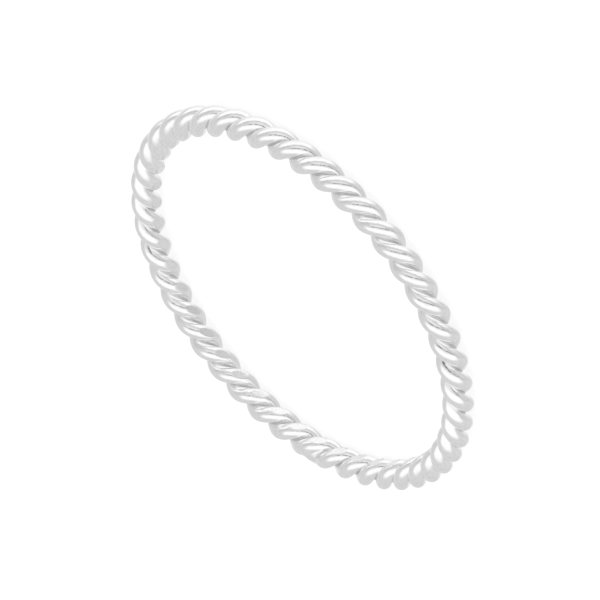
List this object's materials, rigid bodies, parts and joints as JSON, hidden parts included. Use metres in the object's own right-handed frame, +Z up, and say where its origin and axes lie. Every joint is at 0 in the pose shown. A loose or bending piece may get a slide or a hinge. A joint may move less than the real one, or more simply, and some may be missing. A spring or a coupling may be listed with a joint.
{
  "type": "rope twist ring",
  "caption": "Slim finger ring of twisted polished silver wire, soldered into a closed round band with a bumpy rope surface.",
  "frame": {"origin": "on the axis of the finger hole, at the height of the surface that the ring rests on", "axes": "+Z up along the axis of the finger hole; the solder seam lies at about 128 degrees from +X towards +Y"},
  "size_m": [0.02, 0.02, 0.0014],
  "materials": {
    "silver": "polished sterling silver, bright white"
  },
  "bodies": {
    "root": {"rope_band": "silver"}
  },
  "joints": []
}
